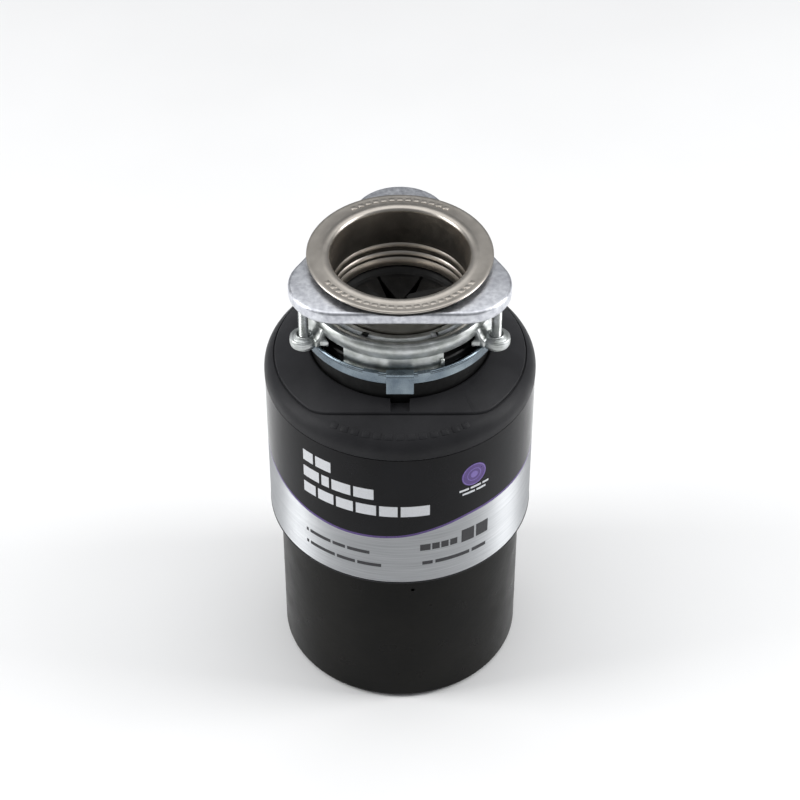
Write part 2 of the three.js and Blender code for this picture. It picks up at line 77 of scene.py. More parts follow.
def drawn(name, points):
    """A line through points, left in edit mode with all of it selected."""
    only(None)
    bpy.ops.mesh.primitive_plane_add(size=MM)
    piece = bpy.context.object
    piece.name = piece.data.name = name
    bpy.ops.object.mode_set(mode="EDIT")
    bpy.ops.mesh.select_all(action="SELECT")
    bpy.ops.mesh.merge(type="CENTER")
    places = [at(*point) for point in points]
    bpy.ops.transform.translate(value=places[0])
    for here, there in zip(places, places[1:]):
        bpy.ops.mesh.extrude_vertices_move(TRANSFORM_OT_translate={"value": there - here})
    bpy.ops.mesh.select_all(action="SELECT")
    return piece


def sealed(piece):
    """Merges what meets, closes open ends and faces everything outwards."""
    bpy.ops.mesh.select_all(action="SELECT")
    bpy.ops.mesh.remove_doubles(threshold=1e-6)
    bpy.ops.mesh.select_all(action="SELECT")
    bpy.ops.mesh.fill_holes(sides=0)
    bpy.ops.mesh.select_all(action="SELECT")
    bpy.ops.mesh.normals_make_consistent(inside=False)
    return only(piece)


def spun(name, profile, steps=ROUND, start=0.0, sweep=360.0):
    """A piece turned about the vertical axis from [radius, height] points. A profile that leaves the axis is a closed loop."""
    line = list(profile)
    if line[0][0] > 0:
        line.append(line[0])
    ray = math.radians(start)
    piece = drawn(name, [(r * math.sin(ray), -r * math.cos(ray), z) for r, z in line])
    bpy.ops.mesh.spin(steps=steps, angle=-math.radians(sweep), center=(0, 0, 0), axis=(0, 0, 1))
    return sealed(piece)


def screwed(name, profile, start, sweep, rise, steps, turns=1):
    """A profile carried round the vertical axis while it climbs."""
    ray = math.radians(start)
    line = list(profile)
    piece = only(drawn(name, [(r * math.sin(ray), -r * math.cos(ray), z) for r, z in line]))
    screw = piece.modifiers.new("Screw", "SCREW")
    screw.angle = math.radians(sweep)
    screw.screw_offset = rise * MM
    screw.steps = screw.render_steps = steps
    screw.iterations = turns
    bpy.ops.object.modifier_apply(modifier=screw.name)
    bpy.ops.object.mode_set(mode="EDIT")
    return piece


def prism(name, outline, bottom, top):
    """A flat outline raised to a thickness."""
    points = [(x, y, bottom) for x, y in outline]
    piece = drawn(name, points + points[:1])
    bpy.ops.mesh.remove_doubles(threshold=1e-6)
    bpy.ops.mesh.edge_face_add()
    bpy.ops.mesh.extrude_region_move(TRANSFORM_OT_translate={"value": (0, 0, (top - bottom) * MM)})
    return sealed(piece)


def settled(piece, turn=(0, 0, 0), place=(0, 0, 0)):
    """Turns and moves a piece, and puts that into its mesh."""
    only(piece)
    piece.rotation_euler = [math.radians(a) for a in turn]
    piece.location = at(*place)
    bpy.ops.object.transform_apply(location=True, rotation=True, scale=True)
    return piece


def copied(piece, name, turn=0.0, place=(0, 0, 0)):
    """A copy with its own mesh, turned about the vertical axis."""
    only(piece)
    bpy.ops.object.duplicate(linked=False)
    copy = bpy.context.object
    copy.name = copy.data.name = name
    return settled(copy, (0, 0, turn), place)


def joined(first, *others):
    """Several meshes as one piece."""
    only(first)
    for other in others:
        other.select_set(True)
    bpy.ops.object.join()
    return first


def applied(piece, kind, **settings):
    only(piece)
    modifier = piece.modifiers.new(kind.title(), kind)
    for name, value in settings.items():
        setattr(modifier, name, value)
    bpy.ops.object.modifier_apply(modifier=modifier.name)
    return piece


def cut(piece, *tools, operation="DIFFERENCE"):
    for tool in tools:
        applied(piece, "BOOLEAN", operation=operation, object=tool, solver="EXACT")
        bpy.data.objects.remove(tool)
    return piece


def merged(piece, *others):
    return cut(piece, *others, operation="UNION")


def softened(piece, width, segments=3, angle=32):
    """Rounds the sharp edges."""
    return applied(piece, "BEVEL", width=width * MM, segments=segments, limit_method="ANGLE",
                   angle_limit=math.radians(angle), use_clamp_overlap=True)


def rounded_box(name, low, high, corner=0.6, segments=2):
    x0, y0, z0 = low
    x1, y1, z1 = high
    box = prism(name, [(x0, y0), (x1, y0), (x1, y1), (x0, y1)], z0, z1)
    return softened(box, corner, segments) if corner else box


def rounded_outline(width, height, corner, steps=6):
    """A rectangle with round corners, about its own middle."""
    x, y = width / 2 - corner, height / 2 - corner
    return (arc(x, y, corner, 0, 90, steps) + arc(-x, y, corner, 90, 180, steps)
            + arc(-x, -y, corner, 180, 270, steps) + arc(x, -y, corner, 270, 360, steps))


def across(piece, height, x=0.0):
    """Lays a piece made along +Z down along +Y, at a height."""
    return settled(piece, (-90, 0, 0), (x, 0, height))


def wrapped(piece, radius, azimuth, height):
    """Bends a flat piece, drawn in X and Y with its face up, round the front of a cylinder."""
    for vertex in piece.data.vertices:
        x, y, z = vertex.co / MM
        side, front = around(radius + z, azimuth + math.degrees(x / radius))
        vertex.co = at(side, front, height + y)
    return piece


# ---- Materials ----
def linear(colour):
    """An sRGB hex colour as the shader wants it."""
    channels = [int(colour[i:i + 2], 16) / 255 for i in (1, 3, 5)]
    return [c / 12.92 if c <= 0.04045 else ((c + 0.055) / 1.055) ** 2.4 for c in channels] + [1.0]


def node(tree, kind, sockets=(), stops=(), **settings):
    """Adds a node, sets it, and feeds its sockets with values or with other nodes' outputs."""
    made = tree.nodes.new(kind)
    for name, value in settings.items():
        setattr(made, name, value)
    for name, value in dict(sockets).items():
        if isinstance(value, bpy.types.NodeSocket):
            tree.links.new(value, made.inputs[name])
        else:
            made.inputs[name].default_value = value
    for i, (place, colour) in enumerate(stops):
        stop = made.color_ramp.elements[i] if i < 2 else made.color_ramp.elements.new(place)
        stop.position, stop.color = place, linear(colour)
    return made


def based(name, roughness, metallic=0.0, **sockets):
    """A new material with its shader's plain values set. Gives back the material, its tree, its shader and its coordinates."""
    material = bpy.data.materials.new(name)
    material.use_nodes = True
    tree = material.node_tree
    shader = tree.nodes["Principled BSDF"]
    shader.inputs["Roughness"].default_value = roughness
    shader.inputs["Metallic"].default_value = metallic
    for socket, value in sockets.items():
        shader.inputs[socket.replace("_", " ")].default_value = value
    return material, tree, shader, node(tree, "ShaderNodeTexCoord").outputs["Object"]


def uneven(tree, place, size, low, high, stretch=(1, 1, 1), detail=3.0):
    """Soft patches of a size in millimetres, as a number between two limits."""
    laid = node(tree, "ShaderNodeMapping", {"Vector": place, "Scale": stretch}).outputs["Vector"]
    noise = node(tree, "ShaderNodeTexNoise", {"Vector": laid, "Scale": 1 / (size * MM), "Detail": detail})
    return node(tree, "ShaderNodeMapRange", {"Value": noise.outputs["Fac"], "From Min": 0.3, "From Max": 0.7,
                                            "To Min": low, "To Max": high}).outputs["Result"]


def tinted(tree, shader, amount, first, second):
    """Colours the piece from one hex colour to another by an amount."""
    ramp = node(tree, "ShaderNodeValToRGB", {"Fac": amount}, [(0.0, first), (1.0, second)])
    tree.links.new(ramp.outputs["Color"], shader.inputs["Base Color"])


def roughened(tree, shader, amount):
    tree.links.new(amount, shader.inputs["Roughness"])


def embossed(tree, shader, height, depth, strength=1.0):
    """Raises the surface by a height in millimetres."""
    bump = node(tree, "ShaderNodeBump", {"Height": height, "Distance": depth * MM, "Strength": strength})
    tree.links.new(bump.outputs["Normal"], shader.inputs["Normal"])


def can_enamel():
    """Baked semi-gloss enamel on drawn steel: near black, with a faint orange peel 3 mm across."""
    material, tree, shader, place = based("baked_black_enamel", 0.3, Specular_IOR_Level=0.07)
    tinted(tree, shader, uneven(tree, place, 40, 0, 1), "#10100f", "#171614")
    roughened(tree, shader, uneven(tree, place, 18, 0.26, 0.36))
    embossed(tree, shader, uneven(tree, place, 3, 0, 1), 0.02)
    return material


def moulded_shell(name, first, second, low, high):
    """Injection-moulded ABS: satin black with a spark-eroded grain, drawn 0.6 mm across so that it shows."""
    material, tree, shader, place = based(name, low, IOR=1.53, Specular_IOR_Level=0.1)
    tinted(tree, shader, uneven(tree, place, 30, 0, 1), first, second)
    roughened(tree, shader, uneven(tree, place, 12, low, high))
    embossed(tree, shader, uneven(tree, place, 0.6, 0, 1, detail=1.0), 0.03)
    return material


def fibre_plastic():
    """Glass-filled polypropylene: matt black with short pale fibre streaks, 4 mm long."""
    material, tree, shader, place = based("glass_filled_plastic", 0.6, IOR=1.49, Specular_IOR_Level=0.3)
    tinted(tree, shader, uneven(tree, place, 1.2, 0, 1, (1, 1, 0.3)), "#141414", "#202021")
    roughened(tree, shader, uneven(tree, place, 8, 0.5, 0.68))
    embossed(tree, shader, uneven(tree, place, 1.0, 0, 1), 0.03)
    return material


def film(name, first, second, roughness):
    """Printed vinyl film under a gloss laminate: flat colour with a slow ripple 30 mm across."""
    material, tree, shader, place = based(name, roughness, IOR=1.5, Specular_IOR_Level=0.12)
    tinted(tree, shader, uneven(tree, place, 25, 0, 1), first, second)
    roughened(tree, shader, uneven(tree, place, 9, roughness * 0.85, roughness * 1.2))
    embossed(tree, shader, uneven(tree, place, 30, 0, 1), 0.05)
    return material


def brushed_film():
    """Metallised film brushed along its length: streaks 0.35 mm high and some 40 mm long."""
    material, tree, shader, place = based("brushed_silver_film", 0.5, 1.0, Anisotropic=0.9, Anisotropic_Rotation=0.25)
    along = node(tree, "ShaderNodeTangent", direction_type="RADIAL", axis="Z").outputs["Tangent"]
    tree.links.new(along, shader.inputs["Tangent"])
    streaks = uneven(tree, place, 0.35, 0, 1, (0.01, 0.01, 1))
    tinted(tree, shader, streaks, "#a9abae", "#c4c6c8")
    roughened(tree, shader, uneven(tree, place, 0.5, 0.42, 0.56, (0.01, 0.01, 1)))
    embossed(tree, shader, streaks, 0.01)
    return material


def print_ink(name, first, second, roughness, metallic=0.0):
    """Screen-printed ink: an even colour with pinholes 0.4 mm across."""
    material, tree, shader, place = based(name, roughness, metallic)
    tinted(tree, shader, uneven(tree, place, 0.4, 0, 1), first, second)
    roughened(tree, shader, uneven(tree, place, 2, roughness * 0.9, roughness * 1.2))
    return material


def satin_stainless():
    """Pressed stainless steel, satin polished: fine turning lines 0.4 mm apart and a warm, slow tone."""
    material, tree, shader, place = based("satin_stainless", 0.3, 1.0)
    cloud = uneven(tree, place, 9, 0, 1)
    tinted(tree, shader, cloud, "#b3ada5", "#bfb9b1")
    roughened(tree, shader, uneven(tree, place, 4, 0.29, 0.36))
    embossed(tree, shader, uneven(tree, place, 0.5, 0, 1, (0.4, 0.4, 2)), 0.003)
    return material


def plated(name, first, second, low, high, patch, dent):
    """Electroplated zinc on pressed steel: patches in a slightly different tone, and a soft pickled surface."""
    material, tree, shader, place = based(name, low, 1.0)
    tinted(tree, shader, uneven(tree, place, patch, 0, 1, detail=5.0), first, second)
    roughened(tree, shader, uneven(tree, place, patch * 0.7, low, high))
    embossed(tree, shader, uneven(tree, place, 1.4, 0, 1), dent)
    return material


def cast_metal(name, first, second, low, high):
    """Sand-finish casting: grains 0.8 mm across and darker hollows."""
    material, tree, shader, place = based(name, low, 1.0)
    grain = uneven(tree, place, 0.8, 0, 1)
    tinted(tree, shader, grain, first, second)
    roughened(tree, shader, uneven(tree, place, 5, low, high))
    embossed(tree, shader, grain, 0.12)
    return material


def laminations():
    """A stack of varnished steel sheets, each 0.65 mm thick, with a dark joint between them."""
    material, tree, shader, place = based("varnished_laminations", 0.5, 0.7)
    sheets = node(tree, "ShaderNodeTexWave", {"Vector": place, "Scale": 1 / (0.65 * MM * 20), "Distortion": 0.0},
                  wave_type="BANDS", bands_direction="Z").outputs["Fac"]
    tinted(tree, shader, sheets, "#2c2b2a", "#55534f")
    roughened(tree, shader, uneven(tree, place, 6, 0.42, 0.6))
    embossed(tree, shader, sheets, 0.1)
    return material


def magnet_wire():
    """Wound magnet wire under varnish: round strands about 1 mm thick."""
    material, tree, shader, place = based("varnished_magnet_wire", 0.35, 0.8)
    strands = node(tree, "ShaderNodeTexWave", {"Vector": place, "Scale": 1 / (1.0 * MM * 20), "Distortion": 1.2,
                                               "Detail Scale": 1.0}, wave_type="RINGS",
                   rings_direction="Z").outputs["Fac"]
    tinted(tree, shader, strands, "#5a2a12", "#b8693a")
    roughened(tree, shader, uneven(tree, place, 5, 0.28, 0.45))
    embossed(tree, shader, strands, 0.4)
    return material


def moulded_rubber():
    """Nitrile rubber: matt black with a powdery bloom in patches 7 mm across."""
    material, tree, shader, place = based("moulded_rubber", 0.5, IOR=1.52, Specular_IOR_Level=0.2)
    tinted(tree, shader, uneven(tree, place, 7, 0, 1), "#0e0e0e", "#1a1a1a")
    roughened(tree, shader, uneven(tree, place, 5, 0.36, 0.55))
    embossed(tree, shader, uneven(tree, place, 0.9, 0, 1), 0.03)
    return material


BLACK_FILM = film("gloss_black_film", "#0c0c0e", "#131316", 0.16)
SILVER_FILM = brushed_film()
PURPLE_INK = print_ink("purple_ink", "#42276c", "#52357f", 0.3)
PALE_PURPLE_INK = print_ink("pale_purple_ink", "#6b56a0", "#7d69b0", 0.35)
SILVER_INK = print_ink("silver_ink", "#c3c5c9", "#dcdee1", 0.35, 0.3)
DARK_INK = print_ink("dark_ink", "#17171b", "#232329", 0.45)
FINISHES = {
    "black_enamel": can_enamel(),
    "shell_plastic": moulded_shell("moulded_abs", "#232325", "#2e2e30", 0.36, 0.46),
    "black_plastic": fibre_plastic(),
    "black_phenolic": moulded_shell("phenolic_moulding", "#100f0e", "#1a1817", 0.4, 0.55),
    "label_film": BLACK_FILM,
    "stainless_steel": satin_stainless(),
    "zinc_plate": plated("bright_zinc_plate", "#a4a8a4", "#d0d3d3", 0.32, 0.44, 7, 0.012),
    "blue_zinc": plated("blue_zinc_plate", "#65717c", "#8b979e", 0.2, 0.32, 12, 0.008),
    "cast_zinc": plated("spangled_zinc_plate", "#babcc3", "#e1e3e8", 0.3, 0.46, 3, 0.03),
    "cast_aluminium": cast_metal("cast_aluminium", "#85868a", "#b5b6ba", 0.45, 0.62),
    "lamination_steel": laminations(),
    "steel": plated("turned_steel", "#7d7d80", "#a4a4a8", 0.24, 0.38, 5, 0.02),
    "copper_wire": magnet_wire(),
    "bearing_bronze": cast_metal("sintered_bronze", "#7c6433", "#b39554", 0.36, 0.5),
    "black_rubber": moulded_rubber(),
    "red_plastic": print_ink("red_moulding", "#a01818", "#bd2323", 0.28),
}


def fitted(piece, body, slot, replaces=(), finish=None, smooth=32):
    """Shades a finished piece smooth, gives it its look (the finish given, or its slot's), puts it under its body and
    hides the frame nodes that it stands for.
    """
    only(piece)
    bpy.ops.object.shade_smooth_by_angle(angle=math.radians(smooth))
    piece.data.materials.clear()
    piece.data.materials.append(finish or FINISHES[slot])
    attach(piece, body)
    if replaces:
        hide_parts(*replaces)
    return piece


# ---- Motor can and base ----
CAN_RADIUS = 79.5
RESET_PLACE = (42, -18)
CONDUIT_PLACE = (-52, 0)
TERMINAL_PLACE = (0, 46)


def motor_can():
    bend = 4.5
    outside = [(9, 0)] + [(30, 0), (31.5, 1.0), (34.5, 1.0), (36, 0)] + arc(CAN_RADIUS - bend, bend, bend, -90, 0, 8)
    inside = [(CAN_RADIUS, 124.6), (CAN_RADIUS - 0.4, 125), (CAN_RADIUS - 1, 125)]
    inside += arc(CAN_RADIUS - bend, bend, bend - 1, 0, -90, 6) + [(36.5, 1), (35, 2), (31, 2), (29.5, 1), (9, 1)]
    can = spun("can_body", outside + inside)
    terminal = prism("terminal_opening", rounded_outline(57, 39, 4), -3, 5)
    dimple = settled(spun("dimple", [(0, 0), (1.25, 0), (1.25, 12), (0, 12)], SMALL_ROUND), (90, 0, 6))
    dimple = settled(dimple, place=(*around(75, 6), 106.5))
    cut(can, settled(terminal, place=(*TERMINAL_PLACE, 0)), dimple,
        hole("reset_hole", 5.2, -3, 5, *RESET_PLACE), hole("conduit_hole", 11, -3, 5, *CONDUIT_PLACE))
    return fitted(can, "disposer", "black_enamel", ["lower_can"])


def hole(name, radius, bottom, top, x, y, steps=SMALL_ROUND):
    cutter = spun(name, [(0, bottom), (radius, bottom), (radius, top), (0, top)], steps)
    return settled(cutter, place=(x, y, 0))


def base_fittings():
    plate = softened(prism("terminal_plate", rounded_outline(54, 36, 3), 3, 4.2), 0.35)
    plate = settled(plate, place=(*TERMINAL_PLACE, 0))
    cut(plate, hole("screw_hole", 2.2, 0, 8, *TERMINAL_PLACE))
    ribs = [rounded_box("plate_rib", (x - 1, 34, 2.2), (x + 1, 58, 3.2), 0.4) for x in (-19, 19)]
    fitted(joined(plate, *ribs), "disposer", "zinc_plate", ["terminal_cover"])
    screw = spun("terminal_screw", [(0, 1.0), (2.4, 1.0), (3.5, 1.5), (3.8, 2.6), (1.8, 2.7), (1.8, 11.5), (0, 11.5)],
                 SMALL_ROUND)
    cut(screw, rounded_box("screw_slot", (-5, -0.5, 0), (5, 0.5, 1.9), 0))
    fitted(settled(screw, place=(*TERMINAL_PLACE, 0)), "disposer", "zinc_plate", ["terminal_cover_screw"])
    button = spun("reset_button_cap", [(0, 1.2), (2.6, 1.25), (3.9, 1.6), (4.6, 2.4), (4.6, 8), (2.6, 8), (2.6, 12.6),
                                       (0, 12.6)], SMALL_ROUND)
    fitted(settled(button, place=(*RESET_PLACE, 0)), "reset", "red_plastic", ["reset_button"])


# ---- Containers ----
OUTLET_HEIGHT = 153
OUTLET_FACE = 86.2
INLET_PLACE = (-36, 222)


def drain_container():
    pot = spun("drain_container", [
        (26, 125.4), (79.4, 125.4), (79.4, 129), (76, 129.4), (76, 173.5), (81.6, 175), (82, 175.4), (82, 177.6),
        (81.6, 178), (72.5, 178), (72.5, 169.8), (69.5, 169.4), (69.5, 166.2), (72.3, 162), (72.5, 131), (70.5, 129),
        (26, 129)])
    inside = spun("inside", [(0, 120), (74, 120), (74, 190), (0, 190)])
    spout = across(spun("spout", [(0, 65), (22, 65), (22, 85.2), (0, 85.2)], 48), OUTLET_HEIGHT)
    plate = across(softened(prism("face_plate", rounded_outline(60, 48, 8), 81.7, OUTLET_FACE), 0.6), OUTLET_HEIGHT)
    merged(pot, cut(spout, inside), plate)
    bore = across(spun("bore", [(0, 50), (18.5, 50), (18.5, 84.6), (20, 86.4), (20, 92), (0, 92)], 48), OUTLET_HEIGHT)
    cut(pot, bore, *[across(spun("plate_hole", [(0, 76), (2.6, 76), (2.6, 92), (0, 92)], 24), OUTLET_HEIGHT, side * 24.5)
                     for side in (-1, 1)])
    return fitted(pot, "disposer", "black_plastic", ["lower_container"])


def hopper():
    body = spun("hopper", [
        (72, 180), (81.6, 180), (82, 180.4), (82, 182.6), (81.6, 183), (76, 183.4), (74.5, 188), (74, 226), (70, 236),
        (61, 243.5), (53, 246.5), (50.3, 249), (50.3, 273.4), (49.7, 274), (47.6, 274), (47, 273.4), (47, 247),
        (51, 243), (59.5, 239.5), (67, 233), (70.5, 225), (70.5, 210), (72, 208)])
    inside = spun("inside", [(0, 208), (70.4, 208), (70.4, 225), (66.5, 233), (0, 239)])
    x, height = INLET_PLACE
    barbs = [(11, 59)]
    for y in (68, 72.5, 77):
        barbs += [(10.2, y), (11, y + 3.4), (11, y + 3.9), (10.2, y + 4.3)]
    stem = spun("nipple", [(0, 59)] + barbs + [(10.2, 83.2), (9.6, 84), (0, 84)], 40)
    merged(body, cut(across(stem, height, x), inside))
    bore = across(spun("bore", [(0, 68), (8.5, 68), (8.5, 83.6), (9, 85), (9, 90), (0, 90)], 40), height, x)
    return fitted(cut(body, bore), "disposer", "black_plastic", ["upper_container"])


# ---- Trim shell and label ----
FILLET_CENTRE = (74.5, 234)
FILLET = 12
LEAN = 63.4  # how far the shoulder's fillet turns, in degrees
PANEL_RADIUS = 79.5
BEND_RADIUS, BEND_CENTRE = 197, 130  # the front arc, and how far behind the axis its centre lies
SLOPE = 0.509


def cone_height(radius):
    """Height of the sloping top at a radius."""
    return 244.73 + SLOPE * (79.87 - radius)


def panel_outline(grow=0.0):
    """The raised panel's edge: round at the back and sides, and a very flat arc at the front."""
    outline = []
    for i in range(120):
        ahead = BEND_CENTRE * math.cos(math.radians(3 * i))
        front = math.sqrt(ahead ** 2 + BEND_RADIUS ** 2 - BEND_CENTRE ** 2) - ahead
        reach = (front ** -60 + PANEL_RADIUS ** -60) ** (-1 / 60)
        outline.append(around(reach + grow, 3 * i))
    return outline


def trim_shell():
    wall = 2.5
    outside = [(80.1, 120), (86.1, 120), (86.4, 120.3), (86.4, 120.9), (85.7, 121.3), (85.6, 121.6),
               (85.6, 229.6), (85.8, 229.9), (86.3, 230.0), (86.5, 230.3)]
    outside += arc(*FILLET_CENTRE, FILLET, 0, LEAN, 10)
    neck = [(76, cone_height(76)), (72, cone_height(72)), (66, cone_height(66)), (59.5, cone_height(59.5)),
            (58.2, 255.75), (57.6, 255.2), (57.5, 254.6), (57.5, 252.5)]
    inside = arc(*FILLET_CENTRE, FILLET - wall, LEAN, 0, 6) + [(83.1, 228), (83.1, 123), (80.1, 122.4)]
    shell = spun("trim_shell_body", outside + neck + inside, 180)
    groove = spun("groove", [(59, cone_height(59) - 1.0), (82, cone_height(82) - 1.0), (82, 262), (59, 262)], 171)
    around_panel = prism("around_panel", panel_outline(1.1), 235, 270)
    panel_top = spun("panel_top", [(58.45, cone_height(58.45) + 0.6), (59.4, cone_height(59.4) + 1.0),
                                   (82, cone_height(82) + 1.0), (82, 230), (58.45, 230)], 190)
    panel_cut = prism("panel_cut", panel_outline(), 225, 270)
    panel = cut(panel_top, panel_cut, operation="INTERSECT")
    softened(panel, 0.5, 3, 40)
    floor_cut = spun("floor_cut", [(50, cone_height(50) - 2.2), (90, cone_height(90) - 2.2), (90, 215), (50, 215)], 162)
    cut(panel, floor_cut)
    cut(shell, cut(groove, around_panel, operation="INTERSECT"))
    merged(shell, panel)
    key = softened(prism("keyway", rounded_outline(12, 14, 2), 252.2, 262), 0.5)
    cut(shell, settled(key, place=(0, -60.5, 0)))
    window = across(prism("outlet_window", rounded_outline(64, 52, 8), 60, 100), OUTLET_HEIGHT)
    pocket = across(spun("pocket", [(0, 55), (18, 55), (18, 100), (0, 100)], 48), INLET_PLACE[1], INLET_PLACE[0])
    cut(shell, window, pocket)
    marks = []
    for i in range(13):
        bar = rounded_box("raised_bar", (-2.3, -1.9, -0.7), (2.3, 1.9, 0.35), 0.3)
        settled(bar, (33, 0, 0), (0, -80.6, 244.3))
        marks.append(settled(bar, (0, 0, -30 + 5 * i)))
    return fitted(joined(shell, *marks), "disposer", "shell_plastic", ["trim_shell"], smooth=28)


LABEL_RADIUS = 86.25
LABEL_END = 125
# Where the purple line runs: azimuth in degrees and height.
SWOOSH = [(-125, 178), (-90, 178), (-70, 173), (-55, 168), (-40, 164), (-22, 161.6), (0, 163.4), (17, 168.5),
          (30, 172.5), (45, 174), (60, 174.5), (90, 176), (125, 178)]


def swoosh(azimuth):
    """Height of the purple line's middle, on a smooth curve through its points."""
    last = len(SWOOSH) - 1
    i = max(k for k in range(last) if k == 0 or SWOOSH[k][0] <= azimuth)
    slopes = [(SWOOSH[min(k + 1, last)][1] - SWOOSH[max(k - 1, 0)][1])
              / (SWOOSH[min(k + 1, last)][0] - SWOOSH[max(k - 1, 0)][0]) for k in (i, i + 1)]
    (a0, z0), (a1, z1) = SWOOSH[i], SWOOSH[i + 1]
    span, t = a1 - a0, (azimuth - a0) / (a1 - a0)
    return (z0 * (1 + 2 * t) * (1 - t) ** 2 + z1 * t * t * (3 - 2 * t)
            + span * (slopes[0] * t * (1 - t) ** 2 - slopes[1] * t * t * (1 - t)))


def band(name, start, end, low, high, radius, thickness, columns):
    """A skin on a cylinder between two heights, each a number or a function of the azimuth."""
    only(None)
    bpy.ops.mesh.primitive_grid_add(x_subdivisions=columns, y_subdivisions=2, size=1)
    piece = bpy.context.object
    piece.name = piece.data.name = name
    for vertex in piece.data.vertices:
        azimuth = start + (end - start) * (vertex.co.x + 0.5)
        bottom = low(azimuth) if callable(low) else low
        top = high(azimuth) if callable(high) else high
        vertex.co = at(*around(radius, azimuth), bottom + (top - bottom) * (vertex.co.y + 0.5))
    return applied(piece, "SOLIDIFY", thickness=thickness * MM, offset=-1.0)


def label():
    half_line = 0.9
    black = band("label_black", -LABEL_END, LABEL_END, lambda a: swoosh(a) + half_line, 229.4, LABEL_RADIUS, 0.35, 250)
    silver = band("label_silver", -LABEL_END, LABEL_END, 121.7, lambda a: swoosh(a) - half_line, LABEL_RADIUS, 0.35, 250)
    line = band("label_line", -LABEL_END, LABEL_END, lambda a: swoosh(a) - half_line, lambda a: swoosh(a) + half_line,
                LABEL_RADIUS, 0.35, 250)
    fitted(black, "disposer", "label_film", ["label_wrap"])
    fitted(silver, "disposer", "label_film", ["label_wrap"], SILVER_FILM)
    fitted(line, "disposer", "label_film", ["label_wrap"], PURPLE_INK)


PRINT_RADIUS = 86.31


def printed(name, bars, finish):
    """Plain printed bars, each from one azimuth to another between two heights."""
    made = [band(name, start, end, low, high, PRINT_RADIUS, 0.1, max(3, int(end - start)))
            for start, end, low, high in bars]
    return fitted(joined(*made), "disposer", "label_film", finish=finish)


def row(start, ends, low, high, gap=1.3):
    """A line of bars with gaps between them, in degrees."""
    bars = []
    for end in ends:
        bars.append((start, end, low, high))
        start = end + gap
    return bars


def label_prints():
    printed("print_title", row(-44.5, [-39, -30], 208.2, 217) + row(-44.5, [-36, -31, -21, -11], 194.6, 203.4)
            + row(-44.5, [-38, -29, -20, -10, -1, 12.5], 181, 189.8), SILVER_INK)
    printed("print_caption", row(25.5, [30, 36, 40], 193.9, 195.5, 0.8) + row(27, [33, 38.5], 190.4, 192, 0.8), SILVER_INK)
    printed("print_notes", row(-44, [-42.8, -31, -24, -13], 145.4, 148.2, 1.0)
            + row(-44, [-42.8, -29, -19.5, -8], 134.8, 137.6, 1.0), DARK_INK)
    printed("print_series", row(8.5, [13, 17, 21, 25], 149.5, 155, 0.7) + row(27, [33.2, 40.5], 148.6, 159.5, 1.0)
            + row(9.5, [14, 31, 39.5], 136.6, 139.6, 1.2), DARK_INK)
    badge = spun("badge_disc", [(0, 0.02)] + [(r, 0.02) for r in (2, 4, 6, 8, 9)] + [(9, -0.04), (0, -0.04)], 48)
    fitted(wrapped(badge, PRINT_RADIUS, 32.4, 205.7), "disposer", "label_film", finish=PURPLE_INK)
    ring = spun("badge_ring", [(8.0, 0.0), (8.6, 0.0), (8.6, 0.08), (8.0, 0.08)], 64)
    leaf = spun("badge_dot", [(0, 0.08), (2.6, 0.08), (2.6, 0), (0, 0)], 32)
    inner = spun("badge_inner_ring", [(4.6, 0.0), (5.1, 0.0), (5.1, 0.08), (4.6, 0.08)], 48)
    fitted(wrapped(joined(ring, leaf, inner), PRINT_RADIUS, 32.4, 205.7), "disposer", "label_film",
           finish=PALE_PURPLE_INK)


# ---- Rubber parts ----
def neck_cushion():
    side = [(50.6, 250), (56.6, 250), (57, 250.4), (57, 266), (56.4, 266.6), (56.4, 267.6), (57, 268.2)]
    cushion = spun("cushion", side + [(57, 269.8), (56.2, 270.8), (55, 271), (50.6, 271)])
    return fitted(cushion, "disposer", "black_rubber", ["neck_cushion"])


def splash_baffle():
    disc = spun("baffle", [
        (7, 272.2), (14, 272.8), (22, 273.5), (30, 274.3), (38, 275.3), (46, 274.3), (55.5, 274.3), (55.5, 278.8),
        (54.6, 279.7), (41, 279.7), (40, 279.4), (38, 277.6), (36, 276.9), (30, 276.3), (22, 275.5), (14, 274.8),
        (8, 274.4), (7, 274.1)], 128)
    flap = math.radians(45)
    for vertex in disc.data.vertices:
        reach = vertex.co.to_2d().length / MM
        if reach < 36.5:
            bearing = abs((math.atan2(vertex.co.x, -vertex.co.y) / flap + 0.5) % 1 - 0.5) * 2
            vertex.co.z += (1 - bearing) * 3.6 * MM * min(1, (36.5 - reach) / 8)
    for i in range(8):
        angle = 22.5 + 45 * i
        slit = prism("slit", [(-3, -5), (3, -5), (2.9, -12), (0.7, -35), (-0.7, -35), (-2.9, -12)], 268, 286)
        end = hole("slit_end", 1.3, 268, 286, 0, -35.2, 16)
        cut(disc, settled(slit, (0, 0, angle)), settled(end, (0, 0, angle)))
    return fitted(disc, "disposer", "black_rubber", ["splash_baffle"], smooth=20)


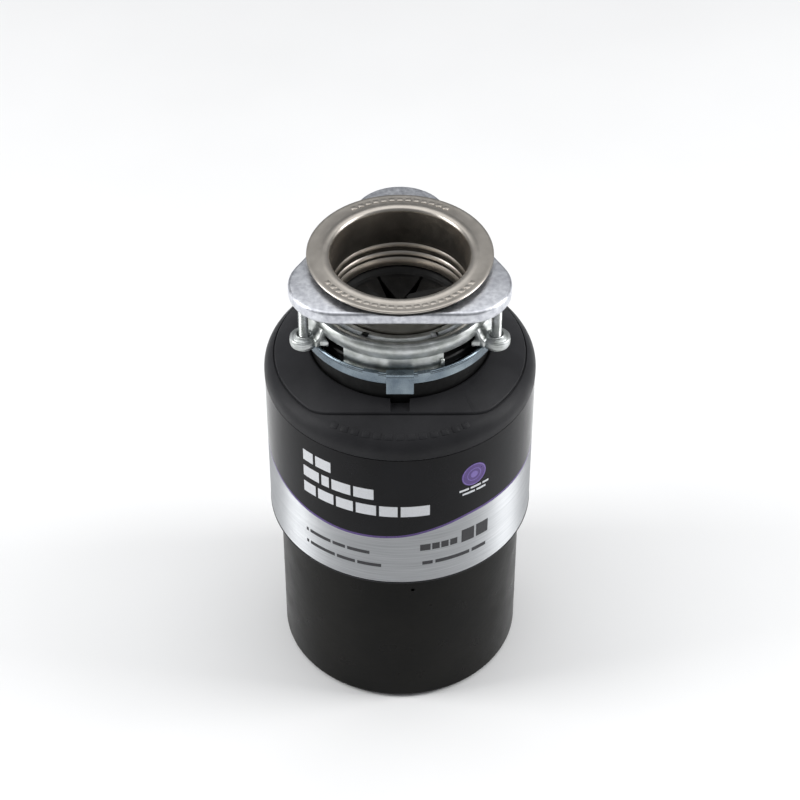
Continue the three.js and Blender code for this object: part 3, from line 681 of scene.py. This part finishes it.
# ---- Sink mount ----
def lower_ring():
    band_profile = [(50.8, 271.5), (62.3, 271.5), (62.8, 272.1), (62.8, 277.6)]
    band_profile += arc(61.8, 278.7, 1.25, -35, 215, 10) + [(60.9, 277.4), (60.8, 273.9), (60.2, 273.5), (50.8, 273.5)]
    ring = spun("lower_ring_band", [(r, min(z, 279.9)) for r, z in band_profile])
    clips = []
    for angle in (0, 120, 240):
        side = [(62.3, 266.4), (62.9, 266), (65.2, 266), (65.8, 266.6), (65.8, 279.4), (65.4, 280.5), (64.4, 281),
                (59.6, 281), (59.2, 280.6), (59.2, 279.1), (59.6, 278.7), (62.0, 278.7), (62.3, 278.3)]
        clip = prism("clip", [(y, z) for y, z in side], -8.5, 8.5)
        settled(clip, (90, 0, 0))
        settled(clip, (0, 0, -90))
        softened(clip, 0.5, 2, 50)
        front = rounded_box("clip_panel", (-5.6, -66.4, 264), (5.6, -65.1, 278.4), 0)
        cut(clip, front)
        clips.append(settled(clip, (0, 0, angle)))
        for start, sweep, top in ((-21, 9, 280.05), (10, 7, 280.05)):
            ear = spun("ear", [(60.7, 277), (63.1, 277), (63.1, top - 0.5), (62.7, top), (60.7, top)], 8, start, sweep)
            clips.append(settled(ear, (0, 0, angle)))
    return fitted(joined(ring, *clips), "lower_ring", "blue_zinc", ["lower_mounting_ring"])


def mounting_arm():
    """An eye for the screw on a web that rises to the crown."""
    outline = ([(13, -57.4), (11.2, -59.2), (9.6, -61.4), (8.7, -63.6)] + arc(0, -68, 8.6, 22, -202, 26)
               + [(-8.7, -63.6), (-9.6, -61.4), (-11.2, -59.2), (-13, -57.4)])
    web = softened(prism("web", outline, 281.5, 286.2), 1.8, 4)
    foot_outline = [(7, -57.4), (7, -64)] + arc(0, -68, 8.4, 28, -208, 26) + [(-7, -64), (-7, -57.4)]
    foot = softened(prism("foot", foot_outline, 280.4, 283.6), 1.2, 3)
    boss = spun("boss", [(3.7, 280.2), (7.2, 280.2), (8.3, 280.7), (8.75, 281.6), (8.8, 283.4), (8.3, 285), (7.1, 286.3),
                         (5.8, 286.9), (5.2, 287), (5.0, 287.6), (4.5, 287.9), (4.2, 287.2), (3.7, 286.8)], 40)
    boss = settled(boss, place=(0, -68, 0))
    rise_side = [(57.3, 281.4), (64.8, 281.4), (64.8, 286.4), (63.2, 287), (61.9, 288.4), (61, 290.6), (60.2, 293),
                 (58.8, 294.2), (57.3, 294.2)]
    rise = settled(settled(prism("rise", rise_side, -9.4, 9.4), (90, 0, 0)), (0, 0, -90))
    softened(rise, 1.6, 4, 50)
    for part in (web, foot, rise):
        cut(part, hole("bolt_way", 5.5, 270, 300, 0, -68))
    return joined(web, foot, boss, rise)


def mounting_ring():
    crown = spun("mounting_ring_body", [
        (44.9, 294), (50.5, 294), (53, 295), (55.2, 295.4), (56.4, 294.4), (56.2, 288), (57.2, 287.4), (58.4, 288)]
        + [(59.3, 291), (60.1, 293.5), (60.4, 295.2), (60.2, 297), (59.2, 298.6), (57.6, 299.2), (55.6, 298.9),
           (53.2, 297.4), (51.5, 296.2), (50.4, 296.6), (49.6, 297.2), (48.6, 297.2), (48.1, 296.5), (45.4, 296.2),
           (44.9, 295.6)])
    parts = []
    for angle in (0, 120, 240):
        wall = spun("skirt", [(56.2, 276.2), (58.4, 276.2), (58.4, 288.6), (56.2, 288.6)], 24, -36, 63)
        lip = screwed("lip", [(57.8, 276.25), (60, 276.25), (60, 277.2), (59.6, 277.5), (57.8, 277.5), (57.8, 276.25)],
                      -36, 63, 0.8, 24)
        sealed(lip)
        stop = spun("stop", [(57.6, 276.3), (60, 276.3), (60, 283), (59.2, 284), (57.6, 284)], 4, 24.5, 2.5)
        parts += [settled(part, (0, 0, angle)) for part in (wall, lip, softened(stop, 0.4, 2, 50))]
    parts += [settled(mounting_arm(), (0, 0, angle)) for angle in (-60, 60, 180)]
    for angle in (-145, -95, -25, 25, 95, 145):
        notch = rounded_box("notch", (-2.2, -51.4, 290), (2.2, -47.4, 300), 0.5)
        cut(crown, settled(notch, (0, 0, angle)))
    return fitted(joined(crown, *parts), "sink_mount", "zinc_plate", ["mounting_ring"])


THREAD_PITCH = 1.27


def mounting_screws():
    head = spun("mounting_screw", [
        (0, 276.6), (3.6, 276.6), (4.4, 276.9), (4.75, 277.5), (4.75, 279.4), (4.4, 279.8), (3.2, 279.8), (3.2, 285),
        (2.7, 285.4), (2.7, 308.8), (2.3, 309.3), (0, 309.3)], SMALL_ROUND)
    cut(head, rounded_box("slot_cut", (-6, -0.6, 275), (6, 0.6, 278.2), 0))
    turns = 18
    root, crest, foot = 2.62, 3.18, 285.4
    thread = screwed("thread", [(root, foot), (crest, foot + 0.5 * THREAD_PITCH - 0.08),
                                (crest, foot + 0.5 * THREAD_PITCH + 0.08), (root, foot + THREAD_PITCH - 0.02)],
                     0, 360, THREAD_PITCH, 20, turns)
    bpy.ops.mesh.select_all(action="SELECT")
    bpy.ops.mesh.remove_doubles(threshold=1e-6)
    bpy.ops.mesh.normals_make_consistent(inside=False)
    only(thread)
    pattern = joined(head, thread)
    for number, angle in enumerate((-60, 60, 180), 1):
        screw = copied(pattern, f"mount_screw_{number}", place=(*around(68, angle), 0))
        fitted(screw, f"screw_{number}", "zinc_plate", [f"mounting_screw_{number}"])
    bpy.data.objects.remove(pattern)


def backup_ring():
    outline = []
    for angle in (90, 210, 330):
        x, y = 44 * math.cos(math.radians(angle)), 44 * math.sin(math.radians(angle))
        outline += arc(x, y, 30, angle - 60, angle + 60, 24)
    plate = softened(prism("backup_plate", outline, 309.6, 318.8), 2.2, 5)
    bore = spun("bore", [(0, 300), (46, 300), (46, 325), (0, 325)], 128)
    cut(plate, bore)
    return fitted(plate, "backup", "cast_zinc", ["backup_ring"])


def sink_flange():
    throat = [(40.6, 280.9), (41.0, 280.3), (42.6, 280.2), (43.6, 281), (44.2, 283.2), (44.2, 291.3), (43.3, 291.3),
              (43.3, 294), (44.2, 294), (44.2, 320.2), (44.6, 321.8), (45.6, 322.6), (46.6, 322.8)]
    rim = [(57.1, 323.0), (57.5, 323.3), (57.5, 323.8), (57.2, 324.2), (56.6, 324.35), (55.5, 324.3), (49.2, 324.1),
           (48.0, 324.3), (47.0, 324.5), (46.0, 324.45)]
    inside = arc(45.8, 321.6, 2.8, 90, 180, 8)[1:] + [
        (43, 297.2), (42.3, 296.2), (41.8, 295), (41.8, 294), (42.3, 292.9), (43, 292.2), (43, 290.6), (42.2, 289.8),
        (41.7, 288.6), (41.9, 287.4), (42.7, 286.6), (42.7, 285.8), (41.8, 284.6), (41.0, 283), (40.8, 281.6)]
    flange = spun("sink_flange_body", throat + rim + inside, 160)
    marks = []
    for first, count in ((-56, 21), (146.4, 13)):
        for i in range(count):
            bar = rounded_box("raised_bar", (-1.75, -53.8, 324.0), (1.75, -50.8, 324.47), 0.22)
            marks.append(settled(bar, (0, 0, first + 5.6 * i)))
    return fitted(joined(flange, *marks), "sink_mount", "stainless_steel", ["sink_flange"])


motor_can()
base_fittings()
drain_container()
hopper()
trim_shell()
label()
label_prints()
neck_cushion()
splash_baffle()
lower_ring()
mounting_ring()
mounting_screws()
backup_ring()
sink_flange()

slot_of = {part["node"]: part["material_slot"] for part in frame["record"]["subparts"]}
for name, solid in frame["nodes"].items():
    solid.data.materials.clear()
    solid.data.materials.append(FINISHES[slot_of[name]])


# ---- Floor, light and camera ----
def studio_floor():
    """Seamless paper: matt and pale, with a slow unevenness 0.3 m across."""
    material, tree, shader, place = based("studio_paper", 0.9, Specular_IOR_Level=0.1)
    tinted(tree, shader, uneven(tree, place, 300, 0, 1), "#f0f0f0", "#f5f5f5")
    return material


only(None)
bpy.ops.mesh.primitive_plane_add(size=16, location=(0, 0, -0.0003))
floor = bpy.context.object
floor.name = "floor"
floor.data.materials.append(studio_floor())


def softbox(name, place, aim, width, height, power):
    bpy.ops.object.light_add(type="AREA", location=place)
    lamp = bpy.context.object
    lamp.name = name
    lamp.data.shape = "RECTANGLE"
    lamp.data.size, lamp.data.size_y, lamp.data.energy = width, height, power
    lamp.rotation_euler = (Vector(aim) - Vector(place)).to_track_quat("-Z", "Y").to_euler()
    return lamp


softbox("left_box", (-1.3, -0.15, 0.75), (0, 0, 0.15), 0.55, 1.3, 15)
softbox("right_box", (1.3, -0.05, 0.75), (0, 0, 0.15), 0.55, 1.3, 15)
softbox("top_box", (0, 0.35, 2.1), (0, 0, 0), 3.2, 2.4, 30)

bpy.context.scene.view_settings.view_transform = "Standard"
world = bpy.context.scene.world or bpy.data.worlds.new("studio")
bpy.context.scene.world = world
world.use_nodes = True
sky = world.node_tree
for old in list(sky.nodes):
    sky.nodes.remove(old)
light = node(sky, "ShaderNodeBackground", {"Color": linear("#eef1f5"), "Strength": 0.28}).outputs[0]
node(sky, "ShaderNodeOutputWorld", {"Surface": light})

bpy.ops.object.camera_add(location=(0, -1.1167, 1.2271), rotation=(math.radians(47.43), 0, 0))
camera = bpy.context.object
camera.data.lens = 105.5
camera.data.sensor_width = 36
bpy.context.scene.camera = camera
